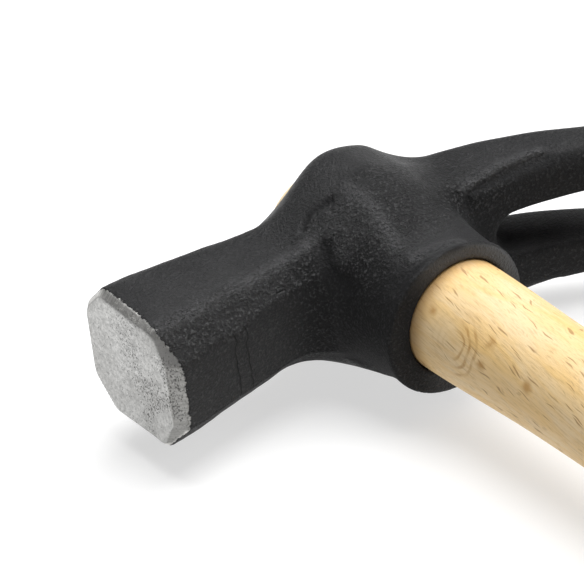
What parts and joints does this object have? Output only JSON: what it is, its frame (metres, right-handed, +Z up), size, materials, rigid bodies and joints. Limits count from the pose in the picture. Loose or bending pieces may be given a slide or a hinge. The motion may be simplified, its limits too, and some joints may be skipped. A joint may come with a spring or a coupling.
{
  "type": "claw hammer",
  "caption": "Claw hammer with a square, octagonally faceted poll, a round eye barrel with a collar, two curved claws with a nail slot, and a turned wooden handle.",
  "frame": {"origin": "middle of the underside of the hammer's box, with the hammer lying on its side", "axes": "+X from the claws towards the striking face, +Y along the handle from the head to the butt, +Z up, from one side of the hammer to the other"},
  "size_m": [0.117, 0.3309, 0.0402],
  "materials": {
    "black_steel": "satin black over forged steel, bare ground steel on the striking face",
    "beech": "pale turned beech with a thin clear coat",
    "wedge_wood": "raw hardwood",
    "wedge_steel": "dull bare steel"
  },
  "bodies": {
    "root": {"head": "black_steel", "handle": "beech", "wood_wedge": "wedge_wood", "steel_wedge": "wedge_steel"}
  },
  "joints": []
}
